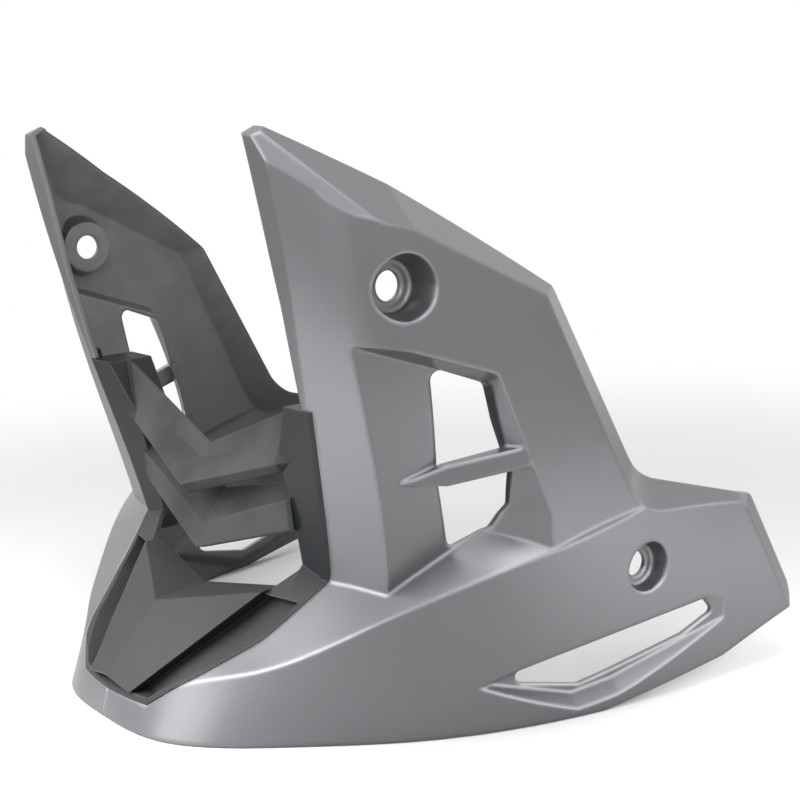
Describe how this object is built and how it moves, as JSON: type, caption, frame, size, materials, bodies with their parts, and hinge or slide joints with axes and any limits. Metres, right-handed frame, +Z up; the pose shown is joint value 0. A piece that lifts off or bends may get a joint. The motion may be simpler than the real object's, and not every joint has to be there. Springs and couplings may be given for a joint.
{
  "type": "motorcycle belly pan",
  "caption": "Low front fairing of a motorcycle: mirrored painted cowls that meet at a pointed nose, with a black chin and bent slats between them.",
  "frame": {"origin": "middle of the footprint at the level of the lower edges", "axes": "+X to the rider's left, +Y to the back, +Z up; the nose points to -Y"},
  "size_m": [0.3428, 0.2968, 0.2726],
  "materials": {
    "paint": "satin grey metallic paint on plastic",
    "black_plastic": "fine grained black plastic",
    "zinc": "zinc plated steel"
  },
  "bodies": {
    "root": {"left_cowl": "paint", "right_cowl": "paint", "centre_grille": "black_plastic", "grille_screws": "zinc", "nose_screw": "zinc", "nose_nut": "zinc"}
  },
  "joints": []
}
